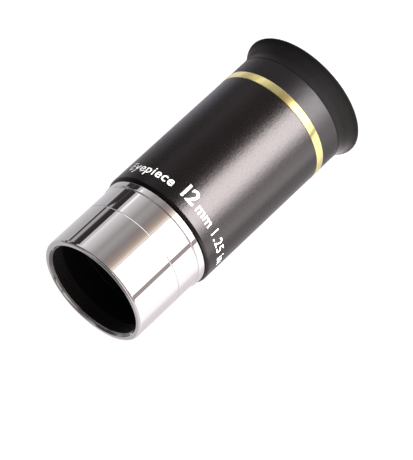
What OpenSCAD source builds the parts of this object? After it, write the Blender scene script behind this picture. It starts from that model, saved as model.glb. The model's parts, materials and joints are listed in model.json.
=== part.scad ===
// Telescope eyepiece: a chromed 1.25 inch barrel, a black housing with a gilt
// band, six lenses in four groups, and a rubber eyecup that folds down.
//
// Origin: on the optical axis, at the front shoulder of the barrel's collar,
// where a focuser stops. +Y runs along the axis to the eye, and +Z is up.
// A profile is a list of [radius, y] points that is turned about the axis.

/* [Barrel] */
// Outer diameter of the barrel
barrel_d = 31.75; // [31.65:0.01:31.75]
// Length of the barrel, from its mouth to the collar's shoulder
barrel_l = 22; // [20:0.5:25]
// Length of the nosepiece that screws out of the barrel
nose_l = 14.7; // [14:0.1:15.2]
// Outer diameter of the collar
collar_d = 32.5; // [32.3:0.05:32.8]
// Width of the collar
collar_w = 2; // [1.6:0.1:3]

/* [Filter thread] */
// Major diameter of the filter thread
filter_d = 28.5; // [28.4:0.05:28.6]
// Pitch of the filter thread
filter_pitch = 0.6; // [0.5:0.05:0.6]
// Number of turns of the filter thread
filter_turns = 6; // [4:1:7]

/* [Housing] */
// Outer diameter of the housing
housing_d = 33.7; // [33.6:0.05:34]
// Length of the housing, from the collar to the gilt band
housing_l = 43.5; // [43:0.1:44]
// Length of the bevel on the front of the housing
bevel_l = 1; // [0.5:0.1:2]

/* [Gilt band] */
// Outer diameter of the gilt band
band_d = 33.9; // [33.7:0.05:34.2]
// Width of the gilt band
band_w = 2.45; // [2:0.05:3]

/* [Top cap] */
// Width of the top cap's flange
cap_w = 6.05; // [5.6:0.05:6.5]
// Diameter of the opening over the eye lens
eye_opening_d = 23.4; // [22:0.1:23.6]

/* [Eyecup] */
// Outer diameter of the eyecup's rim
rim_d = 37.56; // [37.2:0.02:38]
// Height of the eyecup above the top cap's flange
eyecup_h = 6.3; // [6.1:0.1:6.8]
// Height of the part that grips the top cap
grip_h = 1.8; // [1.6:0.1:2]
// Height of the thin wall that folds
fold_h = 2.8; // [2.6:0.1:3]

/* [Lenses] */
// Diameter of the lens sleeve's bore
sleeve_bore_d = 24.1; // [24.1:0.02:24.16]
// Diameter of the lenses in the lens sleeve
lens_d = 24; // [23.9:0.02:24]
// Diameter of the two lenses in the nosepiece
nose_lens_d = 24.5; // [24.3:0.1:24.5]
// Diameter of the field stop's opening
field_stop_d = 12.4; // [11:0.1:14]

/* [Hidden] */
// Facets of a full turn, and of a ball that a lens face is cut from
$fn = 96;
ball_fn = 360;

// Radii of the outside
barrel_r = barrel_d / 2;
collar_r = collar_d / 2;
housing_r = housing_d / 2;
band_r = band_d / 2;
rim_r = rim_d / 2;

// Places along the axis, from the mouth to the eye
mouth_y = -barrel_l;
nose_joint_y = mouth_y + nose_l;
housing_y = collar_w;
band_y = housing_y + housing_l;
flange_y = band_y + band_w;
neck_y = flange_y + cap_w;
grip_top_y = neck_y + grip_h;
fold_top_y = grip_top_y + fold_h;
rim_top_y = neck_y + eyecup_h;

// Small edges: a broken edge, a fine one, and the mouth's two chamfers
edge = 0.15;
fine_edge = 0.12;
mouth_edge = 0.5;
mouth_bevel = 0.6;

// Filter thread: minor radius, start, and the flat crest between two grooves
filter_r = filter_d / 2;
filter_minor_r = filter_r - 0.325;
filter_y = mouth_y + 1.1;
filter_crest = 0.15;

// Running and screwed fits: the radial gap between one piece and the next
thread_gap = 0.05;
seat_gap = 0.02;

// Nosepiece: the spigot that screws into the barrel base, and the cell in it
nose_spigot_r = 14.9;
nose_spigot_l = 4;
nose_flange_r = 12.8;
nose_flange_w = 0.6;
cell_r = 13.6;
cell_l = 6.5;
cell_y = nose_joint_y + nose_spigot_l - cell_l - 0.7;
cell_lip_r = 11.4;
cell_lip_w = 0.8;
nose_lens_y = cell_y + cell_lip_w;
concave_edge_w = 3.45;
meniscus_edge_w = 1;
retainer_y = nose_lens_y + concave_edge_w + meniscus_edge_w;
retainer_w = 1.15;

// Barrel base: the spigot that screws into the housing
base_spigot_r = 14.6;
base_spigot_l = 6.4;
base_bore_r = 13.2;
baffle_y = collar_w + 2;
baffle_w = 1;
baffle_opening_r = 8;

// Housing: the bore that holds the lens sleeve
shoulder_y = housing_y + base_spigot_l + 0.2;
sleeve_r = 15.2;
sleeve_top_r = 13.5;
sleeve_step_y = band_y - 4;
sleeve_top_y = neck_y + 0.2;
stop_y = shoulder_y + 3.4;
stop_w = 1.5;

// Lens stack in the sleeve, from the bottom seat up to the retaining ring. The
// seats and spacers touch only the flat land round a lens, outside its curve.
lens_r = lens_d / 2;
bore_r = sleeve_bore_d / 2;
lens_land = 0.9;
seat_r = lens_r - lens_land + 0.1;
lower_lens_y = shoulder_y + 19.9;
lower_lens_w = 3.5;
lower_spacer_w = 5;
flint_w = 4.5;
crown_w = 3;
upper_spacer_w = 5;
eye_lens_w = 2.8;
eye_retainer_w = 1.5;
lower_spacer_y = lower_lens_y + lower_lens_w;
flint_y = lower_spacer_y + lower_spacer_w;
crown_y = flint_y + flint_w;
upper_spacer_y = crown_y + crown_w;
eye_lens_y = upper_spacer_y + upper_spacer_w;
eye_retainer_y = eye_lens_y + eye_lens_w;
cement_gap = 0.04;

// Top cap: the seat of the gilt band, the neck and lip that hold the eyecup
band_seat_r = 15.6;
neck_r = 15.4;
neck_w = 1;
lip_r = 16.15;
lip_w = 0.9;
opening_r = eye_opening_d / 2;
opening_top_r = 14.3;

// Eyecup: the wall's outer and inner radii at its levels, and the round lip of
// its rim. Folded down, the rim still clears the top cap.
grip_top_r = housing_r + 0.05;
fold_top_r = 17.86;
grip_inner_r = lip_r + 0.1;
rim_inner_r = housing_r + 0.35;
rim_flare_r = 18.2;
rim_flare_h = 0.6;
lip_round_r = 0.3;

// Turns a profile of [radius, y] points about the optical axis
module turned(points) {
    rotate([-90, 0, 0]) rotate_extrude() polygon(points);
}

// A plain ring about the axis
module ring(y, w, inner_r, outer_r) {
    turned([[inner_r, y], [outer_r, y], [outer_r, y + w], [inner_r, y + w]]);
}

// Radius of the sphere whose cap has base radius c and height h
function cap_sphere_r(c, h) = (c * c + h * h) / (2 * h);

// A spherical cap that stands on the XY plane
module dome(c, h) {
    sphere_r = cap_sphere_r(c, h);
    intersection() {
        translate([0, 0, h - sphere_r]) sphere(r = sphere_r, $fn = ball_fn);
        cylinder(r = c + 1, h = h + 1);
    }
}

// The ball that cuts a hollow of radius c and depth h down into the XY plane
module dish(c, h) {
    sphere_r = cap_sphere_r(c, h);
    translate([0, 0, sphere_r - h]) sphere(r = sphere_r, $fn = ball_fn);
}

// A lens whose edge runs from y to y + w. A bulge above 0 is convex, and one
// below 0 is hollow; low faces the barrel's mouth and high faces the eye.
module lens(y, w, r, low, high) {
    c = r - lens_land;
    translate([0, y, 0]) rotate([-90, 0, 0]) difference() {
        union() {
            cylinder(r = r, h = w);
            if (low > 0) mirror([0, 0, 1]) dome(c, low);
            if (high > 0) translate([0, 0, w]) dome(c, high);
        }
        if (low < 0) mirror([0, 0, 1]) dish(c, -low);
        if (high < 0) translate([0, 0, w]) dish(c, -high);
    }
}

// Two slots for a spanner, cut across a ring's face at height y
module spanner_slots(y, depth, inner_r, outer_r) {
    slot_w = 1.4;
    for (side = [-1, 1]) {
        middle = side * (inner_r + outer_r) / 2;
        translate([middle, y, 0])
            cube([outer_r - inner_r + 1, 2 * depth, slot_w], center = true);
    }
}

// The grooves of the filter thread, from the last turn to the first
function filter_profile() = [
    for (turn = [filter_turns - 1 : -1 : 0])
        let (y = filter_y + turn * filter_pitch)
        each [
            [filter_minor_r, y + filter_pitch],
            [filter_minor_r, y + filter_pitch - filter_crest / 2],
            [filter_r, y + filter_pitch / 2],
            [filter_minor_r, y + filter_crest / 2]
        ]
];

module nose_tube() {
    spigot_end = nose_joint_y + nose_spigot_l;
    color("gainsboro") turned(concat(
        [
            [barrel_r - mouth_edge, mouth_y],
            [barrel_r, mouth_y + mouth_edge],
            [barrel_r, nose_joint_y - fine_edge],
            [barrel_r - fine_edge, nose_joint_y],
            [nose_spigot_r, nose_joint_y],
            [nose_spigot_r, spigot_end],
            [cell_r, spigot_end],
            [cell_r, cell_y],
            [nose_flange_r, cell_y],
            [nose_flange_r, cell_y - nose_flange_w],
            [filter_minor_r, cell_y - nose_flange_w]
        ],
        filter_profile(),
        [
            [filter_minor_r, filter_y],
            [filter_minor_r + mouth_bevel, mouth_y]
        ]
    ));
}

module nose_cell() {
    lens_bore_r = nose_lens_d / 2 + seat_gap;
    color("#202022") turned([
        [cell_lip_r, cell_y],
        [cell_r - seat_gap, cell_y],
        [cell_r - seat_gap, cell_y + cell_l],
        [lens_bore_r, cell_y + cell_l],
        [lens_bore_r, nose_lens_y],
        [cell_lip_r, nose_lens_y]
    ]);
}

module nose_concave_lens() {
    color("lightcyan", 0.5) lens(nose_lens_y, concave_edge_w, nose_lens_d / 2, -0.8, -1.44);
}

module nose_meniscus_lens() {
    y = nose_lens_y + concave_edge_w;
    color("lightcyan", 0.5) lens(y, meniscus_edge_w, nose_lens_d / 2, 1.4 - cement_gap, -0.3);
}

module nose_retainer() {
    inner_r = nose_lens_d / 2 - 1;
    outer_r = nose_lens_d / 2;
    color("#202022") difference() {
        ring(retainer_y, retainer_w, inner_r, outer_r);
        spanner_slots(retainer_y + retainer_w, 0.5, inner_r, outer_r);
    }
}

module barrel_base() {
    spigot_bore_r = nose_spigot_r + thread_gap;
    spigot_bore_end = nose_joint_y + nose_spigot_l + 0.1;
    base_end = collar_w + base_spigot_l;
    shoulder = 0.28;
    color("gainsboro") turned([
        [barrel_r - fine_edge, nose_joint_y],
        [barrel_r, nose_joint_y + fine_edge],
        [barrel_r, 0],
        [collar_r - shoulder, 0],
        [collar_r, shoulder],
        [collar_r, collar_w - edge],
        [collar_r - edge, collar_w],
        [base_spigot_r, collar_w],
        [base_spigot_r, base_end],
        [base_bore_r, base_end],
        [base_bore_r, spigot_bore_end],
        [spigot_bore_r, spigot_bore_end],
        [spigot_bore_r, nose_joint_y]
    ]);
}

module light_baffle() {
    color("#202022") ring(baffle_y, baffle_w, baffle_opening_r, base_bore_r - seat_gap);
}

module housing() {
    front_bore_r = base_spigot_r + thread_gap;
    rear_bore_r = sleeve_r + thread_gap;
    gap_r = collar_r - 0.35;
    gap_w = 0.3;
    bevel_y = housing_y + gap_w;
    color("#2a2729") turned([
        [front_bore_r, housing_y],
        [gap_r, housing_y],
        [gap_r, bevel_y],
        [collar_r + 0.05, bevel_y],
        [housing_r, bevel_y + bevel_l],
        [housing_r, band_y - edge],
        [housing_r - edge, band_y],
        [rear_bore_r, band_y],
        [rear_bore_r, shoulder_y],
        [front_bore_r, shoulder_y]
    ]);
}

module lens_sleeve() {
    color("#1c1c1e") turned([
        [seat_r, shoulder_y],
        [sleeve_r, shoulder_y],
        [sleeve_r, sleeve_step_y],
        [sleeve_top_r, sleeve_step_y],
        [sleeve_top_r, sleeve_top_y],
        [bore_r, sleeve_top_y],
        [bore_r, lower_lens_y],
        [seat_r, lower_lens_y]
    ]);
}

module field_stop() {
    lip_w = 0.3;
    color("#202022") turned([
        [field_stop_d / 2, stop_y],
        [seat_r - seat_gap, stop_y],
        [seat_r - seat_gap, stop_y + stop_w],
        [field_stop_d / 2 + stop_w, stop_y + stop_w],
        [field_stop_d / 2, stop_y + lip_w]
    ]);
}

module lower_lens() {
    color("lightcyan", 0.5) lens(lower_lens_y, lower_lens_w, lens_r, 1.6, 2);
}

module lower_spacer() {
    color("#202022") ring(lower_spacer_y, lower_spacer_w, seat_r, lens_r);
}

module flint_lens() {
    color("lightcyan", 0.5) lens(flint_y, flint_w, lens_r, -0.6, -2.4);
}

module crown_lens() {
    color("lightcyan", 0.5) lens(crown_y, crown_w, lens_r, 2.4 - cement_gap, 1.8);
}

module upper_spacer() {
    color("#202022") ring(upper_spacer_y, upper_spacer_w, seat_r, lens_r);
}

module eye_lens() {
    color("lightcyan", 0.5) lens(eye_lens_y, eye_lens_w, lens_r, 2.6, 0.9);
}

module eye_lens_retainer() {
    color("#202022") difference() {
        ring(eye_retainer_y, eye_retainer_w, seat_r, lens_r);
        spanner_slots(eye_retainer_y + eye_retainer_w, 0.7, seat_r, lens_r);
    }
}

module gilt_band() {
    inner_r = band_seat_r + thread_gap;
    color("goldenrod") turned([
        [inner_r, band_y],
        [band_r - fine_edge, band_y],
        [band_r, band_y + fine_edge],
        [band_r, flange_y - fine_edge],
        [band_r - fine_edge, flange_y],
        [inner_r, flange_y]
    ]);
}

module top_cap() {
    bore = sleeve_top_r + thread_gap;
    lip_y = neck_y + neck_w;
    top_y = lip_y + lip_w;
    color("#2a2729") turned([
        [bore, sleeve_step_y],
        [sleeve_r, sleeve_step_y],
        [sleeve_r, band_y],
        [band_seat_r, band_y],
        [band_seat_r, flange_y],
        [housing_r - edge, flange_y],
        [housing_r, flange_y + edge],
        [housing_r, neck_y],
        [neck_r, neck_y],
        [neck_r, lip_y],
        [lip_r, lip_y],
        [lip_r, top_y - edge],
        [lip_r - edge, top_y],
        [opening_top_r, top_y],
        [opening_r, sleeve_top_y + 0.25],
        [opening_r, sleeve_top_y],
        [bore, sleeve_top_y]
    ]);
}

// The foot of the rubber eyecup, which snaps into the neck under the lip
module eyecup_grip() {
    hook_top_y = neck_y + neck_w - 0.05;
    color("#1b1a1b") turned([
        [neck_r + 0.05, neck_y],
        [housing_r, neck_y],
        [grip_top_r, grip_top_y],
        [grip_inner_r, grip_top_y],
        [grip_inner_r, hook_top_y],
        [neck_r + 0.05, hook_top_y]
    ]);
}

// The thin wall that turns over when the eyecup is folded down
module eyecup_fold() {
    mid_y = grip_top_y + fold_h / 2;
    color("#1b1a1b") turned([
        [grip_inner_r, grip_top_y],
        [grip_top_r, grip_top_y],
        [(grip_top_r + fold_top_r) / 2 - 0.08, mid_y],
        [fold_top_r, fold_top_y],
        [rim_inner_r, fold_top_y],
        [(grip_inner_r + rim_inner_r) / 2 - 0.08, mid_y]
    ]);
}

// The flared rim that the eye rests against, with a round lip
module eyecup_rim() {
    middle_r = rim_r - lip_round_r;
    middle_y = rim_top_y - lip_round_r;
    color("#1b1a1b") turned(concat(
        [
            [rim_inner_r, fold_top_y],
            [fold_top_r, fold_top_y],
            [rim_flare_r, fold_top_y + rim_flare_h]
        ],
        [for (a = [0 : 18 : 180]) [middle_r + lip_round_r * cos(a), middle_y + lip_round_r * sin(a)]]
    ));
}

nose_tube();
nose_cell();
nose_concave_lens();
nose_meniscus_lens();
nose_retainer();
barrel_base();
light_baffle();
housing();
lens_sleeve();
field_stop();
lower_lens();
lower_spacer();
flint_lens();
crown_lens();
upper_spacer();
eye_lens();
eye_lens_retainer();
gilt_band();
top_cap();
eyecup_grip();
eyecup_fold();
eyecup_rim();
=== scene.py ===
"""The looks of the telescope eyepiece: finishes, turned details, rubber eyecup, lettering and studio.

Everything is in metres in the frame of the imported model: the optical axis is Y, the eye is at +Y,
and the eyepiece lies on its side, so that the floor touches the eyecup's rim from below.
"""
import json
import math
import random

import bmesh
import bpy
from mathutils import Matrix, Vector


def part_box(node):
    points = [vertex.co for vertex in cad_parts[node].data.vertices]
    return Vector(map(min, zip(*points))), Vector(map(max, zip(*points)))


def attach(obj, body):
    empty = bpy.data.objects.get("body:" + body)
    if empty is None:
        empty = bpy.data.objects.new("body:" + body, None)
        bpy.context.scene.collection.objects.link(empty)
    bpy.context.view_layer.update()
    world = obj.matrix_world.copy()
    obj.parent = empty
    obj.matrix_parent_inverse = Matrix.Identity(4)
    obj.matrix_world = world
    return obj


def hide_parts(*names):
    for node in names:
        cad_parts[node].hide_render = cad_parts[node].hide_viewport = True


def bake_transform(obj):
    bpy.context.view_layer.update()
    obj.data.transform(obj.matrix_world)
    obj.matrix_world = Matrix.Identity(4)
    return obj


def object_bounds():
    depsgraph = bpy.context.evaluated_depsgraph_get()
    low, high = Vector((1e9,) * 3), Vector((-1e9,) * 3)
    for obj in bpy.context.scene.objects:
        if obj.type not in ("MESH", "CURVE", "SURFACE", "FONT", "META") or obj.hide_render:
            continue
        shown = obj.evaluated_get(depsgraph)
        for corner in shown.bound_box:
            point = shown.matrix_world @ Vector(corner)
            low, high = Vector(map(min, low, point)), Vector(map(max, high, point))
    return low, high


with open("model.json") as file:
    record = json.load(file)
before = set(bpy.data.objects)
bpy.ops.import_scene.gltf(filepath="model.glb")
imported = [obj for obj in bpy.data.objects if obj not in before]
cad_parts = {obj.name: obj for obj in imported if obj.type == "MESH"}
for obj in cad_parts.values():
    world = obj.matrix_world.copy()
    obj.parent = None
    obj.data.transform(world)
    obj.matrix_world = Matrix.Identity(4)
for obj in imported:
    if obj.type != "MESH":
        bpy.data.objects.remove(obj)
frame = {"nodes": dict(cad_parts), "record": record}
cad_low, cad_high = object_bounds()

MM = 0.001
TURN_STEPS = 256


# ---------------------------------------------------------------- measures of the frame

def side(node, end):
    """The place of a node along the axis, at its "front" (the mouth's side) or its "back"."""
    low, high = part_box(node)
    return low.y if end == "front" else high.y


def radius(node):
    """The outer radius of a node that is turned about the axis."""
    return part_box(node)[1].x


mouth_y = side("nose_tube", "front")
nose_joint_y = side("barrel_base", "front")
nose_end_y = side("nose_tube", "back")
cell_y = side("nose_cell", "front")
base_end_y = side("barrel_base", "back")
housing_y = side("housing", "front")
band_y = side("gilt_band", "front")
flange_y = side("gilt_band", "back")
sleeve_top_y = side("lens_sleeve", "back")
neck_y = side("eyecup_grip", "front")
fold_y = side("eyecup_fold", "front")
rim_y = side("eyecup_rim", "front")
rim_top_y = side("eyecup_rim", "back")
cap_low_y = side("top_cap", "front")
cap_top_y = side("top_cap", "back")
barrel_r = radius("nose_tube")
cell_r = radius("nose_cell")
collar_r = radius("barrel_base")
baffle_r = radius("light_baffle")
housing_r = radius("housing")
sleeve_r = radius("lens_sleeve")
band_r = radius("gilt_band")
grip_r = radius("eyecup_grip")
fold_r = radius("eyecup_fold")
rim_r = radius("eyecup_rim")


# ---------------------------------------------------------------- materials

class Finish:
    """A material with one Principled shader, and short calls that add nodes to it.

    The constants are the shader's own socket values, by name, with _ in place of a space.
    """

    def __init__(self, name, **constants):
        self.material = bpy.data.materials.new(name)
        self.material.use_nodes = True
        self.tree = self.material.node_tree
        self.shader = self.tree.nodes["Principled BSDF"]
        self.place = self.tree.nodes.new("ShaderNodeTexCoord").outputs["Object"]
        for socket, value in constants.items():
            self.shader.inputs[socket.replace("_", " ")].default_value = value

    def node(self, kind, inputs=None, output=0, **settings):
        """A new node with its inputs linked or set; returns one of its outputs."""
        made = self.tree.nodes.new(kind)
        for name, value in settings.items():
            setattr(made, name, value)
        for socket, value in (inputs or {}).items():
            if isinstance(value, bpy.types.NodeSocket):
                self.tree.links.new(value, made.inputs[socket])
            else:
                made.inputs[socket].default_value = value
        return made.outputs[output]

    def scaled(self, x, y, z):
        """The place in the shared frame, times a number of cells per metre along each axis."""
        return self.node("ShaderNodeVectorMath", {0: self.place, 1: (x, y, z)}, operation="MULTIPLY")

    def noise(self, x, y, z, detail=2.0, roughness=0.5):
        """Noise from 0 to 1 with that many cells per metre along each axis."""
        inputs = {"Vector": self.scaled(x, y, z), "Scale": 1.0, "Detail": detail, "Roughness": roughness}
        return self.node("ShaderNodeTexNoise", inputs)

    def math(self, operation, a, b=0.0, c=0.0):
        """The result of one of Blender's math operations."""
        return self.node("ShaderNodeMath", {0: a, 1: b, 2: c}, operation=operation)

    def ramp(self, value, low, high, out_low, out_high):
        """value, clamped and scaled from low..high to out_low..out_high."""
        inputs = {"Value": value, "From Min": low, "From Max": high, "To Min": out_low, "To Max": out_high}
        return self.node("ShaderNodeMapRange", inputs)

    def colours(self, value, low, high):
        """A mix of two colours by a value from 0 to 1."""
        inputs = {"Factor": value, 6: (*low, 1.0), 7: (*high, 1.0)}
        return self.node("ShaderNodeMix", inputs, output=2, data_type="RGBA")

    def bump(self, height, distance, below=None):
        """A bump of that height in metres, on top of another bump's normal."""
        inputs = {"Height": height, "Distance": distance, "Strength": 1.0}
        if below is not None:
            inputs["Normal"] = below
        return self.node("ShaderNodeBump", inputs)

    def use(self, socket, value):
        """Links a value to one of the shader's sockets."""
        self.tree.links.new(value, self.shader.inputs[socket])
        return self


def chrome_finish():
    """Polished chrome plate, with a faint ripple, polishing lines and wiped smudges."""
    finish = Finish("chrome_plate", Metallic=1.0)
    smudges = finish.noise(260, 170, 260, detail=4.0, roughness=0.6)
    finish.use("Base Color", finish.colours(smudges, (0.84, 0.825, 0.835), (0.88, 0.87, 0.875)))
    finish.use("Roughness", finish.ramp(smudges, 0.35, 0.75, 0.008, 0.028))
    ripple = finish.noise(330, 90, 330, detail=1.0)
    lines = finish.noise(60, 9000, 60, detail=2.0)
    normal = finish.bump(ripple, 1.2e-6)
    finish.use("Normal", finish.bump(lines, 1.0e-8, below=normal))
    return finish.material


def anodised_finish():
    """Satin black anodising: a fine even grain that glitters a little in the highlight."""
    finish = Finish("black_anodising", IOR=1.36, Specular_Tint=(1.0, 0.885, 0.89, 1.0))
    tone = finish.noise(120, 90, 120, detail=3.0)
    finish.use("Base Color", finish.colours(tone, (0.0013, 0.0009, 0.0010), (0.0021, 0.0015, 0.0016)))
    grain = finish.noise(2000, 2000, 2000, detail=4.0, roughness=0.7)
    finish.use("Roughness", finish.ramp(grain, 0.3, 0.7, 0.22, 0.30))
    finish.use("Normal", finish.bump(grain, 4.0e-5))
    return finish.material


def cap_finish():
    """The top cap's blasted black anodising, duller and a little greyer than the housing's."""
    tint = (1.0, 0.93, 0.94, 1.0)
    finish = Finish("blasted_black", IOR=1.30, Specular_Tint=tint, Sheen_Weight=0.08, Sheen_Roughness=0.25)
    tone = finish.noise(150, 200, 150, detail=3.0)
    finish.use("Base Color", finish.colours(tone, (0.0020, 0.0016, 0.0020), (0.0030, 0.0025, 0.0029)))
    grain = finish.noise(2200, 2200, 2200, detail=4.0, roughness=0.7)
    finish.use("Roughness", finish.ramp(grain, 0.3, 0.7, 0.34, 0.50))
    finish.use("Normal", finish.bump(grain, 4.5e-5))
    return finish.material


def gilt_finish():
    """Pale gold anodising over a surface that is brushed along the axis."""
    finish = Finish("gilt_anodising", Metallic=1.0)
    brushed = finish.noise(5200, 60, 5200, detail=3.0, roughness=0.6)
    finish.use("Base Color", finish.colours(brushed, (0.86, 0.74, 0.28), (1.0, 0.94, 0.48)))
    finish.use("Roughness", finish.ramp(brushed, 0.3, 0.7, 0.15, 0.22))
    finish.use("Normal", finish.bump(brushed, 3.0e-6))
    return finish.material


def rubber_finish():
    """Matt moulded rubber with a fine spark-eroded grain and a dusting of bloom."""
    tint = (0.58, 0.51, 0.52, 1.0)
    finish = Finish("moulded_rubber", IOR=1.17, Sheen_Weight=0.34, Sheen_Roughness=0.34, Sheen_Tint=tint)
    bloom = finish.noise(180, 180, 180, detail=5.0, roughness=0.7)
    finish.use("Base Color", finish.colours(bloom, (0.0012, 0.0009, 0.0009), (0.0034, 0.0027, 0.0027)))
    grain = finish.noise(2000, 2000, 2000, detail=3.0, roughness=0.6)
    finish.use("Roughness", finish.ramp(grain, 0.3, 0.7, 0.66, 0.84))
    finish.use("Normal", finish.bump(grain, 3.5e-5))
    return finish.material


def blackened_finish():
    """Matt black anodising inside the instrument, with the rings that the tool left."""
    finish = Finish("blackened_metal_finish", IOR=1.4)
    rings = finish.noise(300, 7000, 300, detail=2.0)
    finish.use("Base Color", finish.colours(rings, (0.0022, 0.0018, 0.0018), (0.0048, 0.0040, 0.0040)))
    finish.use("Roughness", finish.ramp(rings, 0.3, 0.7, 0.42, 0.62))
    finish.use("Normal", finish.bump(rings, 4.0e-6))
    return finish.material


def thread_plating_finish():
    """The thinner, duller plating that runs a little way into the filter thread."""
    finish = Finish("thread_plating", Metallic=1.0)
    wear = finish.noise(900, 900, 900, detail=3.0)
    finish.use("Base Color", finish.colours(wear, (0.40, 0.38, 0.38), (0.56, 0.54, 0.54)))
    finish.use("Roughness", finish.ramp(wear, 0.3, 0.7, 0.08, 0.14))
    finish.use("Normal", finish.bump(wear, 2.0e-6))
    return finish.material


def glass_finish():
    """Polished optical glass with a green anti-reflection coating and a few specks of dust."""
    coating = (0.10, 0.32, 0.17, 1.0)
    finish = Finish("coated_optical_glass", IOR=1.52, Transmission_Weight=1.0, Specular_Tint=coating)
    dust = finish.noise(1500, 1500, 1500, detail=2.0)
    finish.use("Roughness", finish.ramp(dust, 0.70, 0.80, 0.0, 0.12))
    cloud = finish.noise(90, 90, 90, detail=2.0)
    finish.use("Base Color", finish.colours(cloud, (0.90, 0.96, 0.93), (0.94, 0.98, 0.96)))
    return finish.material


def enamel_finish():
    """White enamel that fills the lettering."""
    finish = Finish("white_enamel_finish", IOR=1.45)
    wear = finish.noise(2500, 2500, 2500, detail=3.0)
    finish.use("Base Color", finish.colours(wear, (0.74, 0.73, 0.72), (0.86, 0.85, 0.84)))
    finish.use("Roughness", finish.ramp(wear, 0.3, 0.7, 0.40, 0.55))
    finish.use("Normal", finish.bump(wear, 3.0e-6))
    return finish.material


CHROME = chrome_finish()
ANODISED = anodised_finish()
CAP = cap_finish()
GILT = gilt_finish()
RUBBER = rubber_finish()
BLACKENED = blackened_finish()
THREAD_PLATING = thread_plating_finish()
GLASS = glass_finish()
ENAMEL = enamel_finish()


def finish_frame_nodes():
    """Gives every node of the frame the finish of its material slot."""
    by_slot = {
        "chrome": CHROME, "black_anodised": ANODISED, "blasted_black": CAP, "gilt": GILT,
        "rubber": RUBBER, "blackened_metal": BLACKENED, "coated_glass": GLASS,
    }
    for part in frame["record"]["subparts"]:
        frame["nodes"][part["node"]].data.materials[0] = by_slot[part["material_slot"]]


# ---------------------------------------------------------------- turned pieces

def new_object(name, mesh, materials):
    """An object in the scene, with that mesh and those materials."""
    piece = bpy.data.objects.new(name, mesh)
    bpy.context.scene.collection.objects.link(piece)
    for material in materials:
        mesh.materials.append(material)
    return piece


def softened(corners, steps=5):
    """A closed profile with soft corners, from (radius, y, softness) corners in metres.

    A corner's curve starts and ends that far from it; a softness of 0 keeps it sharp.
    """
    points = []
    for i, (r, y, softness) in enumerate(corners):
        here = Vector((r, y))
        if softness == 0:
            points.append((r, y))
            continue
        before = Vector(corners[i - 1][:2]) - here
        after = Vector(corners[(i + 1) % len(corners)][:2]) - here
        start = here + before.normalized() * softness
        end = here + after.normalized() * softness
        for k in range(steps + 1):
            t = k / steps
            point = start * (1 - t) ** 2 + here * 2 * t * (1 - t) + end * t ** 2
            points.append((point.x, point.y))
    return points


def arc(centre_r, centre_y, r, start, end, steps):
    """Points of a round stretch of a profile; the angles are in degrees from +radius to +y."""
    points = []
    for i in range(steps + 1):
        a = math.radians(start + (end - start) * i / steps)
        points.append((centre_r + r * math.cos(a), centre_y + r * math.sin(a)))
    return points


def turned(name, profile, materials, steps=TURN_STEPS, radius_at=None, finish_at=None):
    """A closed ring turned about the axis from a profile of (radius, y) points in metres.

    radius_at(radius, y, angle) may change each point's radius, for threads and brushed lines.
    finish_at(radius, y) gives the number of the material for a face with its middle there.
    """
    shape = bmesh.new()
    rings = []
    for i in range(steps):
        angle = 2 * math.pi * i / steps
        ring = []
        for r, y in profile:
            if radius_at:
                r = radius_at(r, y, angle)
            ring.append(shape.verts.new((r * math.cos(angle), y, r * math.sin(angle))))
        rings.append(ring)
    count = len(profile)
    for i in range(steps):
        here = rings[i]
        after = rings[(i + 1) % steps]
        for j in range(count):
            k = (j + 1) % count
            face = shape.faces.new((here[j], here[k], after[k], after[j]))
            face.smooth = True
            if finish_at:
                middle_r = (profile[j][0] + profile[k][0]) / 2
                middle_y = (profile[j][1] + profile[k][1]) / 2
                face.material_index = finish_at(middle_r, middle_y)
    bmesh.ops.recalc_face_normals(shape, faces=shape.faces)
    mesh = bpy.data.meshes.new(name)
    shape.to_mesh(mesh)
    shape.free()
    return new_object(name, mesh, materials)


def level_shading(piece):
    """Lets each flat or straight stretch set the shading where it meets its soft corners."""
    weighted = piece.modifiers.new("level_shading", "WEIGHTED_NORMAL")
    weighted.weight = 100
    bpy.context.view_layer.objects.active = piece
    bpy.ops.object.modifier_apply(modifier=weighted.name)


def thread_wave(phase):
    """A plated thread's rounded form, from 0 at the crest to 1 at the root."""
    return 0.5 - 0.5 * math.cos(2 * math.pi * phase)


def fade(value, start, end, run):
    """1 between start and end, falling to 0 over the run at each end, for a thread's lead-in."""
    return max(0.0, min(1.0, (value - start) / run, (end - value) / run))


def on(r, wall_r):
    """Whether a point of a profile is on a wall, within the single precision of softened()."""
    return math.isclose(r, wall_r, rel_tol=1e-6)


def stretch(start, end, step):
    """Evenly spaced places from start to end, about one step apart."""
    count = max(1, round(abs(end - start) / step))
    return [start + (end - start) * i / count for i in range(count + 1)]


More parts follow.
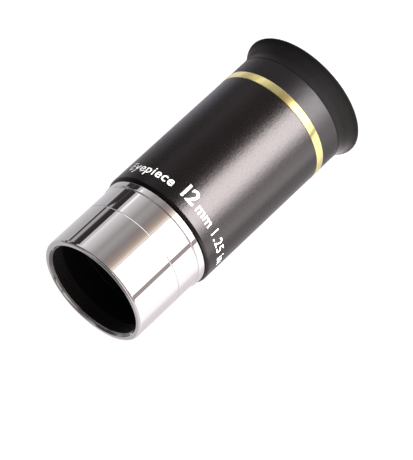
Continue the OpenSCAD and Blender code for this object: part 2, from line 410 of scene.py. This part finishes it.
def nosepiece():
    """The chromed nosepiece with its soft lip, the filter thread in it, and its own thread."""
    pitch = 0.6 * MM
    points_a_turn = 14
    depth = 0.325 * MM
    crest_r = cell_r + depth
    thread_end = mouth_y + 4.65 * MM
    flange_r = 12.8 * MM
    flange_w = 0.6 * MM
    spigot_r = 14.9 * MM
    spigot_start = nose_joint_y + 0.5 * MM
    bevel_r = 14.52 * MM
    plain_bevel = 0.2 * MM
    plated_start = mouth_y + 0.05 * MM
    plated_end = mouth_y + 1.0 * MM
    lip_softness = 0.8 * MM
    edge_w = 0.3 * MM
    edge_depth = 0.09 * MM

    def radius_at(r, y, angle):
        """Cuts the filter thread, which starts in the mouth's 45 degree bevel, and the spigot's."""
        turn = angle / (2 * math.pi)
        if on(r, crest_r) and y < thread_end:
            cut = r + depth * thread_wave(y / pitch - turn) * fade(y, mouth_y - pitch, thread_end, pitch)
            return max(cut, bevel_r + mouth_y - y)
        if on(r, spigot_r) and y > nose_joint_y:
            return r - depth * thread_wave(y / pitch - turn) * fade(y, spigot_start, nose_end_y, pitch)
        return r

    step = pitch / points_a_turn
    spigot = [(spigot_r, y, 0) for y in stretch(nose_joint_y + 0.1 * MM, nose_end_y - 0.2 * MM, step)]
    plated_places = stretch(plated_end, mouth_y + 1.1 * plain_bevel, step / 2)
    thread_places = stretch(thread_end, plated_end, step) + plated_places[1:]
    thread = [(crest_r, y, 0) for y in thread_places]
    corners = [
        (bevel_r, mouth_y, 0.08 * MM),
        (barrel_r, mouth_y, lip_softness),
        (barrel_r, nose_joint_y - edge_w, 0.04 * MM),
        (barrel_r - edge_depth, nose_joint_y, 0.03 * MM),
        (spigot_r, nose_joint_y, 0),
        *spigot,
        (spigot_r - 0.2 * MM, nose_end_y, 0),
        (cell_r, nose_end_y, 0.1 * MM),
        (cell_r, cell_y, 0),
        (flange_r, cell_y, 0),
        (flange_r, cell_y - flange_w, 0.1 * MM),
        (crest_r, cell_y - flange_w, 0.05 * MM),
        *thread,
        (bevel_r - plain_bevel, mouth_y + plain_bevel, 0),
    ]

    def finish_at(r, y):
        """Chrome outside, thinner plating on the thread's first turns, and the blackened bore."""
        if r > spigot_r - depth or y < plated_start:
            return 0
        return 1 if y < plated_end else 2

    finishes = [CHROME, THREAD_PLATING, BLACKENED]
    piece = turned("nosepiece_tube", softened(corners), finishes, radius_at=radius_at, finish_at=finish_at)
    level_shading(piece)
    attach(piece, "nosepiece")
    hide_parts("nose_tube")
    return piece


def base():
    """The back of the barrel: a soft hairline edge at the joint, and the collar with its shoulder."""
    bore_r = baffle_r + 0.02 * MM
    spigot_r = 14.6 * MM
    spigot_bore_r = 14.95 * MM
    bore_step_y = nose_end_y + 0.1 * MM
    stop_y = 0.0  # the collar's front face is at the frame's origin
    shoulder = 0.36 * MM
    blackened_r = spigot_bore_r + 0.1 * MM
    corners = [
        (spigot_bore_r, nose_joint_y, 0.1 * MM),
        (barrel_r, nose_joint_y, 0.02 * MM),
        (barrel_r, stop_y, 0),
        (collar_r, stop_y, shoulder),
        (collar_r, housing_y, 0.16 * MM),
        (spigot_r, housing_y, 0),
        (spigot_r, base_end_y, 0.2 * MM),
        (bore_r, base_end_y, 0.15 * MM),
        (bore_r, bore_step_y, 0.1 * MM),
        (spigot_bore_r, bore_step_y, 0),
    ]

    def finish_at(r, y):
        """Chrome outside, and the blackened bore."""
        return 1 if r < blackened_r else 0

    piece = turned("barrel_collar", softened(corners), [CHROME, BLACKENED], finish_at=finish_at)
    level_shading(piece)
    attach(piece, "eyepiece")
    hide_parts("barrel_base")
    return piece


def housing_tube():
    """The long housing, with its rounded bevel over the collar and a broken edge at the band."""
    front_bore_r = 14.65 * MM
    rear_bore_r = sleeve_r + 0.05 * MM
    shoulder_y = side("lens_sleeve", "front")
    gap_r = collar_r - 0.35 * MM
    bevel_y = housing_y + 0.3 * MM
    bevel = 0.55 * MM
    corners = [
        (front_bore_r, housing_y, 0),
        (gap_r, housing_y, 0),
        (gap_r, bevel_y, 0),
        (collar_r + 0.05 * MM, bevel_y, 0.12 * MM),
        (housing_r, bevel_y + bevel, 0.3 * MM),
        (housing_r, band_y, 0.12 * MM),
        (rear_bore_r, band_y, 0.1 * MM),
        (rear_bore_r, shoulder_y, 0),
        (front_bore_r, shoulder_y, 0),
    ]
    piece = turned("housing_tube", softened(corners), [ANODISED])
    level_shading(piece)
    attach(piece, "eyepiece")
    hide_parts("housing")


def band():
    """The gilt band, brushed along the axis in fine lines of slightly different depth."""
    inner_r = 15.65 * MM
    face_r = band_r - 0.01 * MM
    lines = 1080
    depth = 0.004 * MM
    draw = random.Random(7)
    depths = [draw.uniform(0.0, depth) for _ in range(lines)]

    def radius_at(r, y, angle):
        """Cuts each line of the outer face to its own depth."""
        line = round(angle / (2 * math.pi) * lines) % lines
        return r - depths[line] if r > face_r else r

    corners = [
        (inner_r, band_y, 0),
        (band_r, band_y, 0.12 * MM),
        (band_r, flange_y, 0.12 * MM),
        (inner_r, flange_y, 0),
    ]
    piece = turned("gilt_ring", softened(corners, steps=4), [GILT], steps=lines, radius_at=radius_at)
    level_shading(piece)
    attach(piece, "eyepiece")
    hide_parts("gilt_band")
    return piece


def cap():
    """The top cap, with soft edges, the neck and lip that hold the eyecup, and the eye opening."""
    bore_r = 13.55 * MM
    seat_r = 15.6 * MM
    neck_r = 15.4 * MM
    lip_r = 16.15 * MM
    opening_r = 11.7 * MM
    opening_top_r = 14.3 * MM
    lip_y = cap_top_y - 0.9 * MM
    edge = 0.12 * MM
    corners = [
        (bore_r, cap_low_y, edge),
        (sleeve_r, cap_low_y, edge),
        (sleeve_r, band_y, 0),
        (seat_r, band_y, 0),
        (seat_r, flange_y, 0),
        (housing_r, flange_y, 0.15 * MM),
        (housing_r, neck_y, 0.1 * MM),
        (neck_r, neck_y, 0),
        (neck_r, lip_y, 0),
        (lip_r, lip_y, edge),
        (lip_r, cap_top_y, 0.2 * MM),
        (opening_top_r, cap_top_y, 0.25 * MM),
        (opening_r, sleeve_top_y + 0.25 * MM, edge),
        (opening_r, sleeve_top_y, 0),
        (bore_r, sleeve_top_y, 0),
    ]
    piece = turned("eye_end_cap", softened(corners), [CAP])
    level_shading(piece)
    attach(piece, "eyepiece")
    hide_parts("top_cap")


def eyecup():
    """The rubber eyecup in one moulding, from the hook under the cap's lip to the rounded rim."""
    neck_r = 15.45 * MM
    bore_r = 16.25 * MM
    hook_y = neck_y + 0.95 * MM
    lip_round = 0.3 * MM
    rim_inner_r = housing_r + 0.35 * MM
    fold_middle_y = (fold_y + rim_y) / 2
    outside = [
        (neck_r, neck_y),
        (housing_r - 0.12 * MM, neck_y),
        (housing_r - 0.02 * MM, neck_y + 0.08 * MM),
        (housing_r, neck_y + 0.3 * MM),
        (grip_r - 0.02 * MM, fold_y - 0.6 * MM),
        (grip_r + 0.03 * MM, fold_y + 0.2 * MM),
        (grip_r + 0.24 * MM, fold_y + 0.85 * MM),
        (grip_r + 0.46 * MM, fold_middle_y + 0.1 * MM),
        (grip_r + 0.68 * MM, fold_y + 2.15 * MM),
        (fold_r, rim_y),
        (fold_r + 0.19 * MM, rim_y + 0.35 * MM),
        (fold_r + 0.4 * MM, rim_y + 0.7 * MM),
        (rim_r - 0.18 * MM, rim_y + 1.06 * MM),
    ]
    crown = arc(rim_r - lip_round, rim_top_y - lip_round, lip_round, -25, 180, 12)
    inside = [
        (rim_r - 2.2 * lip_round, rim_top_y - 1.1 * lip_round),
        (rim_inner_r + 0.45 * MM, rim_y + 0.75 * MM),
        (rim_inner_r + 0.12 * MM, rim_y + 0.2 * MM),
        (rim_inner_r - 0.12 * MM, rim_y - 0.4 * MM),
        (rim_inner_r - 0.55 * MM, fold_middle_y),
        (bore_r + 0.12 * MM, fold_y + 0.5 * MM),
        (bore_r, fold_y - 0.2 * MM),
        (bore_r, hook_y + 0.2 * MM),
        (bore_r - 0.06 * MM, hook_y),
        (neck_r, hook_y),
    ]
    piece = turned("eyecup", outside + crown + inside, [RUBBER])
    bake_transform(piece)
    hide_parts("eyecup_grip", "eyecup_fold", "eyecup_rim")


# ---------------------------------------------------------------- lettering

def wrapped_text(words, height, start_angle, base_y, bolder, spacing=1.04):
    """A thin closed solid of generic words, wrapped round the housing.

    height is the capitals' height. The first letter starts at start_angle, in degrees from +X
    towards +Z, and the words run on towards +X with their tops to the eyecup.
    """
    capital_share = 0.729  # of the font's size
    thickness = 0.03 * MM
    embedded = 0.4  # of the thickness
    slice_w = 0.25 * MM
    first_cut = 0.01 * MM
    same_place = 1e-7
    text = bpy.data.curves.new(words, "FONT")
    text.body = words
    text.size = height / capital_share
    text.extrude = thickness / 2
    text.offset = bolder
    text.space_character = spacing
    text.resolution_u = 5
    source = bpy.data.objects.new(words, text)
    bpy.context.scene.collection.objects.link(source)
    bpy.context.view_layer.update()
    flat = bpy.data.meshes.new_from_object(source.evaluated_get(bpy.context.evaluated_depsgraph_get()))
    bpy.data.objects.remove(source)
    shape = bmesh.new()
    shape.from_mesh(flat)
    bpy.data.meshes.remove(flat)
    bmesh.ops.remove_doubles(shape, verts=shape.verts, dist=same_place)
    reach = max(v.co.x for v in shape.verts)
    for i in range(int(reach / slice_w) + 1):
        geometry = [*shape.verts, *shape.edges, *shape.faces]
        cut = (i * slice_w + first_cut, 0, 0)
        bmesh.ops.bisect_plane(shape, geom=geometry, plane_co=cut, plane_no=(1, 0, 0))
    for vertex in shape.verts:
        along, up, out = vertex.co
        angle = math.radians(start_angle) - along / housing_r
        r = housing_r + out + thickness * (0.5 - embedded)
        vertex.co = (r * math.cos(angle), base_y + up, r * math.sin(angle))
    return shape


def lettering():
    """Generic marks round the front of the housing: what it is, its focal length and its barrel."""
    base_y = 6.0 * MM
    small = 2.9 * MM
    large = 4.2 * MM
    bold = 0.05 * MM
    marks = [
        wrapped_text("Eyepiece", small, 137, base_y, bold, spacing=1.12),
        wrapped_text("12", large, 77, base_y, 1.6 * bold, spacing=0.85),
        wrapped_text("mm", small, 56, base_y, 0.6 * bold),
        wrapped_text("1.25 in", small, 31, base_y, 0.1 * bold, spacing=1.14),
    ]
    whole = bpy.data.meshes.new("lettering")
    joined = bmesh.new()
    for mark in marks:
        part = bpy.data.meshes.new("mark")
        mark.to_mesh(part)
        mark.free()
        joined.from_mesh(part)
        bpy.data.meshes.remove(part)
    bmesh.ops.recalc_face_normals(joined, faces=joined.faces)
    joined.to_mesh(whole)
    joined.free()
    piece = new_object("lettering", whole, [ENAMEL])
    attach(piece, "eyepiece")


# ---------------------------------------------------------------- studio

# The studio is a tunnel round the axis. Heights on it are in degrees from the right horizon.
STUDIO_R = 0.5
STUDIO_FRONT = -0.3
STUDIO_BACK = 1.6
FLAG_R = 0.98 * STUDIO_R
LINE_R = 0.985 * STUDIO_R
LAMP_CARD_R = 1.01 * STUDIO_R
TABLE_SIDE = 3.0
SOFTBOX_FRONT = 0.035
SOFTBOX_BACK = 0.455
SOFTBOX_TOP = 64.5


def only_in_reflections(piece):
    """Hides a studio card from everything but reflections."""
    piece.visible_camera = False
    piece.visible_diffuse = False
    piece.visible_transmission = False
    piece.visible_shadow = False


def flat_mesh(name, corners):
    """One flat face between the corners."""
    mesh = bpy.data.meshes.new(name)
    mesh.from_pydata(corners, [], [range(len(corners))])
    return mesh


def glow(name, colour, strength, diffuse=0.0):
    """A material that gives off light evenly, over a diffuse white of that share."""
    grey = (diffuse, diffuse, diffuse, 1.0)
    finish = Finish(name, Roughness=1.0, IOR=1.0, Base_Color=grey, Emission_Strength=strength)
    finish.shader.inputs["Emission Color"].default_value = (*colour, 1.0)
    return finish.material


def striped_glow(name, value, first, last, stops, strength=1.0):
    """A glow whose colour changes with a value of the place, by (value, colour) stops."""
    finish = Finish(name, Roughness=1.0, IOR=1.0, Base_Color=(0, 0, 0, 1), Emission_Strength=strength)
    share = finish.ramp(value(finish), first, last, 0.0, 1.0)
    ramp = finish.tree.nodes.new("ShaderNodeValToRGB")
    finish.tree.links.new(share, ramp.inputs[0])
    elements = ramp.color_ramp.elements
    for i, (at, colour) in enumerate(stops):
        place = (at - first) / (last - first)
        element = elements[i] if i < 2 else elements.new(place)
        element.position = place
        element.color = (*colour, 1.0)
    finish.use("Emission Color", ramp.outputs[0])
    return finish.material


def floor():
    """A white table, lit from below, that touches the eyecup's rim."""
    z = cad_low.z
    half = 6.0
    corners = [(-half, -half, z), (half, -half, z), (half, half, z), (-half, half, z)]
    material = glow("table_acrylic", (1.0, 1.0, 1.0), 1.0, diffuse=0.06)
    piece = new_object("floor", flat_mesh("floor", corners), [material])
    piece.visible_glossy = False


def table_card(name, x, y, lift, material):
    """A card that lies on the table between two places across it and two along it."""
    z = cad_low.z + lift
    corners = [(x[0], y[0], z), (x[1], y[0], z), (x[1], y[1], z), (x[0], y[1], z)]
    piece = new_object(name, flat_mesh(name, corners), [material])
    only_in_reflections(piece)


def painted_table_light():
    """The table as the barrel's polished side sees it, its light and shade painted on a card: a painted
    pool of the lamps' light to the right, painted shadow under the eyepiece and greyer to the left.
    """
    near_share = 20.0

    def across(finish):
        """The place across the table, flattened far out."""
        x = finish.node("ShaderNodeSeparateXYZ", {0: finish.place})
        return finish.math("ARCTANGENT", finish.math("MULTIPLY", x, near_share))

    def at(x_mm):
        """The same for a place in mm."""
        return math.atan(x_mm * MM * near_share)

    # Painted light and shade: the dip at 17 mm is the eyepiece's painted shadow beneath it, the greys to
    # the left are its painted shadow and the lamps' fall-off, and the rise past 24 mm is a painted pool of
    # the softboxes' light.
    stops = [
        (at(-400), (0.46, 0.45, 0.46)), (at(-66), (0.60, 0.58, 0.60)), (at(-29), (0.73, 0.72, 0.73)),
        (at(-12), (0.92, 0.90, 0.91)), (at(17), (0.76, 0.72, 0.73)), (at(24), (0.84, 0.79, 0.80)),
        (at(30), (1.15, 1.1, 1.1)), (at(60), (1.4, 1.35, 1.35)),
    ]
    material = striped_glow("painted_table_light", across, at(-400), at(400), stops)
    front_y = mouth_y - 2 * MM
    table_card("painted_table_light", (-TABLE_SIDE, TABLE_SIDE), (front_y, STUDIO_BACK), 0.1 * MM, material)


def table_back():
    """A cooler card on the left of the table, which pales the gilt band's left side."""
    z = cad_low.z + 0.2 * MM
    near_x = -0.045
    near_y = 0.0455
    far_x = -0.45
    far_y = 0.248
    back_y = 0.5
    corners = [(far_x, far_y, z), (near_x, near_y, z), (near_x, back_y, z), (far_x, back_y, z)]
    material = glow("cool_white", (0.92, 0.87, 1.0), 0.88)
    piece = new_object("table_back", flat_mesh("table_back", corners), [material])
    only_in_reflections(piece)


def table_front():
    """What the mouth's lip and the front bevels see of the table: greys, and then the dark room."""
    edge_y = mouth_y - 2 * MM
    lip_y = mouth_y - 24 * MM
    right_x = 12 * MM
    dark = glow("dark", (1, 0.95, 0.95), 0.06)
    table_card("table_dark", (-TABLE_SIDE, right_x), (STUDIO_FRONT, edge_y), 0.1 * MM, dark)
    grey = glow("lip_grey", (1, 0.96, 0.96), 0.30)
    table_card("table_lip", (-40 * MM, right_x), (lip_y, edge_y), 0.2 * MM, grey)
    light = glow("lip_light", (1.0, 0.95, 0.96), 0.52)
    table_card("table_lip_left", (-300 * MM, -20 * MM), (lip_y - 36 * MM, edge_y), 0.3 * MM, light)
    table_card("table_lip_right", (-2 * MM, right_x), (lip_y, edge_y), 0.3 * MM, light)
    right = glow("right_front", (1.0, 0.93, 0.92), 0.80)
    table_card("table_right", (right_x, TABLE_SIDE), (STUDIO_FRONT, edge_y), 0.1 * MM, right)
    far = glow("far_table", (1.0, 0.99, 0.99), 0.85)
    far_y = 8 * STUDIO_FRONT
    table_card("table_far", (-TABLE_SIDE, TABLE_SIDE), (far_y, STUDIO_FRONT), 0.1 * MM, far)


def front_wall():
    """A brown wall in front of the softboxes, which lines the collar and the lip, and a white one."""
    middle_y = 2.0 * STUDIO_FRONT
    wall = tunnel_mesh("front_wall", STUDIO_R, -5.0, SOFTBOX_TOP, middle_y, SOFTBOX_FRONT - 0.01)
    brown = glow("front_brown", (0.42, 0.32, 0.28), 1.0)
    only_in_reflections(new_object("front_wall", wall, [brown]))
    panel = tunnel_mesh("front_panel", STUDIO_R, 5.0, SOFTBOX_TOP, 4 * STUDIO_FRONT, middle_y)
    white = glow("panel_white", (1.0, 0.98, 0.97), 1.1)
    only_in_reflections(new_object("front_panel", panel, [white]))


def horizon_strip():
    """The dark gap between the table's far edge and the softbox, a thin line in the chrome."""
    x = STUDIO_R
    front = STUDIO_FRONT
    back = STUDIO_BACK
    low = -5.0 * MM
    high = 68.0 * MM
    corners = [(x, front, low), (x, back, low), (x, back, high), (x, front, high)]
    material = glow("gap_grey", (0.40, 0.34, 0.33), 1.0)
    piece = new_object("horizon_strip", flat_mesh("horizon_strip", corners), [material])
    only_in_reflections(piece)


def back_card():
    """A white card behind the eyepiece, which draws the bright hairline at the barrel's joint."""
    y = 0.6
    half = 1.0
    high = 1.2
    corners = [(-half, y, 0.0), (half, y, 0.0), (half, y, high), (-half, y, high)]
    material = glow("back_white", (1.0, 0.98, 0.98), 1.5)
    piece = new_object("back_card", flat_mesh("back_card", corners), [material])
    only_in_reflections(piece)


def tunnel_mesh(name, r, first, last, front, back):
    """A stretch of a tunnel round the axis, between two heights and two places along the axis."""
    step = 2
    steps = max(1, round((last - first) / step))
    corners = []
    for i in range(steps + 1):
        a = math.radians(first + (last - first) * i / steps)
        x = r * math.cos(a)
        z = r * math.sin(a)
        corners.extend([(x, front, z), (x, back, z)])
    faces = [(2 * i, 2 * i + 1, 2 * i + 3, 2 * i + 2) for i in range(steps)]
    mesh = bpy.data.meshes.new(name)
    mesh.from_pydata(corners, [], faces)
    return mesh


def studio_tunnel():
    """The ceiling and the left wall, whose brightness changes with the height in degrees.

    A gap near the front draws the dark line round the barrel's lip.
    """
    first = SOFTBOX_TOP
    last = 190.0
    far_y = 4 * STUDIO_FRONT
    gap_far_y = 2.5 * STUDIO_FRONT
    gap_near_y = 0.57 * STUDIO_FRONT
    brighter_y = 0.262

    def height(finish):
        """The panel's angle, with the left wall's last degrees below the horizon kept in order."""
        x = finish.node("ShaderNodeSeparateXYZ", {0: finish.place})
        angle = finish.math("ARCTAN2", x.node.outputs["Z"], x)
        turned_back = finish.math("LESS_THAN", angle, -1.0)
        return finish.math("ADD", angle, finish.math("MULTIPLY", turned_back, 2 * math.pi))

    lamp_edge = [(64, (0.95, 0.85, 0.78)), (68.5, (0.90, 0.79, 0.70)), (72.5, (0.56, 0.45, 0.38))]
    ceiling = [
        (79, (0.36, 0.29, 0.255)), (88, (0.275, 0.24, 0.235)), (102, (0.375, 0.36, 0.35)),
        (111, (0.35, 0.33, 0.325)), (135, (0.72, 0.69, 0.70)),
    ]
    bright_line = [(138, (0.86, 0.83, 0.84)), (141, (0.82, 0.79, 0.80)), (143, (0.60, 0.57, 0.58))]
    wall = [(158, (0.55, 0.52, 0.53)), (163, (0.38, 0.36, 0.36)), (189, (0.54, 0.525, 0.54))]
    stops = []
    for panel in (lamp_edge, ceiling, bright_line, wall):
        stops.extend((math.radians(degrees), colour) for degrees, colour in panel)
    parts = (
        ("tunnel_far", far_y, gap_far_y, 1.0),
        ("tunnel_front", gap_near_y, brighter_y, 1.0),
        ("tunnel_back", brighter_y, STUDIO_BACK, 1.22),
    )
    for name, front, back, strength in parts:
        material = striped_glow(name, height, math.radians(first), math.radians(last), stops, strength)
        piece = new_object(name, tunnel_mesh(name, STUDIO_R, first, last, front, back), [material])
        piece.visible_camera = False


def flags():
    """Black flags along the left wall: a wide one with a soft edge, a thin one, and a gore behind."""
    end_y = 0.252
    gore_y = 0.2245
    gore_full_y = 0.2275
    wide = tunnel_mesh("wide_flag", FLAG_R, 147.5, 159.5, STUDIO_FRONT, end_y)
    soft = tunnel_mesh("soft_flag", FLAG_R, 159.5, 162.5, STUDIO_FRONT, end_y)
    thin = tunnel_mesh("thin_flag", FLAG_R, 170.5, 175.7, STUDIO_FRONT, end_y)
    places = ((171, gore_y), (161, gore_full_y), (161, end_y), (171, end_y))
    corners = []
    for degrees, y in places:
        a = math.radians(degrees)
        corners.append((FLAG_R * math.cos(a), y, FLAG_R * math.sin(a)))
    gore = flat_mesh("gore_flag", corners)
    for mesh, level in ((wide, 0.034), (soft, 0.10), (thin, 0.06), (gore, 0.04)):
        material = glow(mesh.name, (1.0, 0.85, 0.85), level)
        only_in_reflections(new_object(mesh.name, mesh, [material]))


def barrel_line():
    """A narrow card that draws a white line along the back of the barrel, beside the flags."""
    mesh = tunnel_mesh("barrel_line", LINE_R, 136.5, 141.0, front=0.2252, back=0.2372)
    white = glow("line_white", (1.0, 0.96, 0.94), 1.1)
    only_in_reflections(new_object("barrel_line", mesh, [white]))


def panel_lamp(name, width, depth, radiance):
    """An area lamp of even radiance that the camera doesn't see."""
    lamp = bpy.data.lights.new(name, "AREA")
    lamp.shape = "RECTANGLE"
    lamp.size = width
    lamp.size_y = depth
    lamp.energy = radiance * math.pi * width * depth
    piece = bpy.data.objects.new(name, lamp)
    bpy.context.scene.collection.objects.link(piece)
    piece.visible_camera = False
    return piece


def softbox(name, bottom, top, radiance):
    """A softbox on the right along the tunnel, between two heights in degrees."""
    half_angle = math.radians(top - bottom) / 2
    middle = math.radians(top + bottom) / 2
    middle_y = (SOFTBOX_FRONT + SOFTBOX_BACK) / 2
    width = 2 * STUDIO_R * math.sin(half_angle)
    reach = STUDIO_R * math.cos(half_angle)
    piece = panel_lamp(name, width, SOFTBOX_BACK - SOFTBOX_FRONT, radiance)
    piece.location = (reach * math.cos(middle), middle_y, reach * math.sin(middle))
    piece.rotation_euler = (0.0, math.pi / 2 - middle, 0.0)
    return piece


def table_bounce():
    """The lamps' light that comes back up from the table on the right."""
    near_x = 0.045
    far_x = 0.45
    front_y = -0.1
    depth = 1.0
    piece = panel_lamp("table_bounce", far_x - near_x, depth, radiance=2.8)
    piece.location = ((near_x + far_x) / 2, front_y + depth / 2, cad_low.z + 0.3 * MM)
    piece.rotation_euler = (math.pi, 0.0, 0.0)
    return piece


def lamp_cards():
    """The softboxes' faces as the polished pieces see them, only a little brighter than white."""
    low_top = 22.0
    cards = (("main_card", low_top, SOFTBOX_TOP, 2.6), ("low_card", 7.0, low_top, 1.6))
    for name, bottom, top, level in cards:
        mesh = tunnel_mesh(name, LAMP_CARD_R, bottom, top, SOFTBOX_FRONT, SOFTBOX_BACK)
        material = glow(name, (1.0, 0.98, 0.97), level)
        only_in_reflections(new_object(name, mesh, [material]))


def keep_off(lamps, pieces):
    """Keeps lamps off the polished pieces, which reflect the cards in their place."""
    polished = bpy.data.collections.new("polished_pieces")
    for piece in pieces:
        polished.objects.link(piece)
    for item in polished.collection_objects:
        item.light_linking.link_state = "EXCLUDE"
    for lamp in lamps:
        lamp.light_linking.receiver_collection = polished


def room_light():
    """The room's own faint light, behind which the camera sees plain white."""
    room = bpy.data.worlds.new("room")
    bpy.context.scene.world = room
    room.use_nodes = True
    nodes = room.node_tree.nodes
    links = room.node_tree.links
    dim = nodes["Background"]
    dim.inputs["Color"].default_value = (0.10, 0.095, 0.095, 1.0)
    white = nodes.new("ShaderNodeBackground")
    white.inputs["Color"].default_value = (1.0, 1.0, 1.0, 1.0)
    path = nodes.new("ShaderNodeLightPath")
    mix = nodes.new("ShaderNodeMixShader")
    links.new(path.outputs["Is Camera Ray"], mix.inputs["Fac"])
    links.new(dim.outputs[0], mix.inputs[1])
    links.new(white.outputs[0], mix.inputs[2])
    links.new(mix.outputs[0], nodes["World Output"].inputs["Surface"])


def camera():
    """The camera looks down on the eyepiece from the mouth's side, with its right side nearer."""
    azimuth = math.radians(40.54)
    elevation = math.radians(53.42)
    distance = 0.7212
    aim = Vector((0.00915, 0.01098, 0.0))
    ahead = Vector((
        -math.sin(azimuth) * math.cos(elevation),
        math.cos(azimuth) * math.cos(elevation),
        -math.sin(elevation),
    ))
    data = bpy.data.cameras.new("camera")
    data.lens = 223.87
    data.sensor_width = 36.0
    piece = bpy.data.objects.new("camera", data)
    bpy.context.scene.collection.objects.link(piece)
    piece.location = aim - ahead * distance
    piece.rotation_euler = ahead.to_track_quat("-Z", "Y").to_euler()
    bpy.context.scene.camera = piece
    bpy.context.scene.view_settings.view_transform = "Standard"


camera()
room_light()
floor()
painted_table_light()
table_back()
table_front()
front_wall()
horizon_strip()
back_card()
studio_tunnel()
flags()
barrel_line()
lamp_cards()
lamps = [
    softbox("main_softbox", bottom=19.5, top=62.5, radiance=29.0),
    softbox("low_softbox", bottom=5.0, top=19.5, radiance=10.0),
    table_bounce(),
]
finish_frame_nodes()
polished_pieces = [nosepiece(), base(), band()]
housing_tube()
cap()
eyecup()
lettering()
keep_off(lamps, polished_pieces)
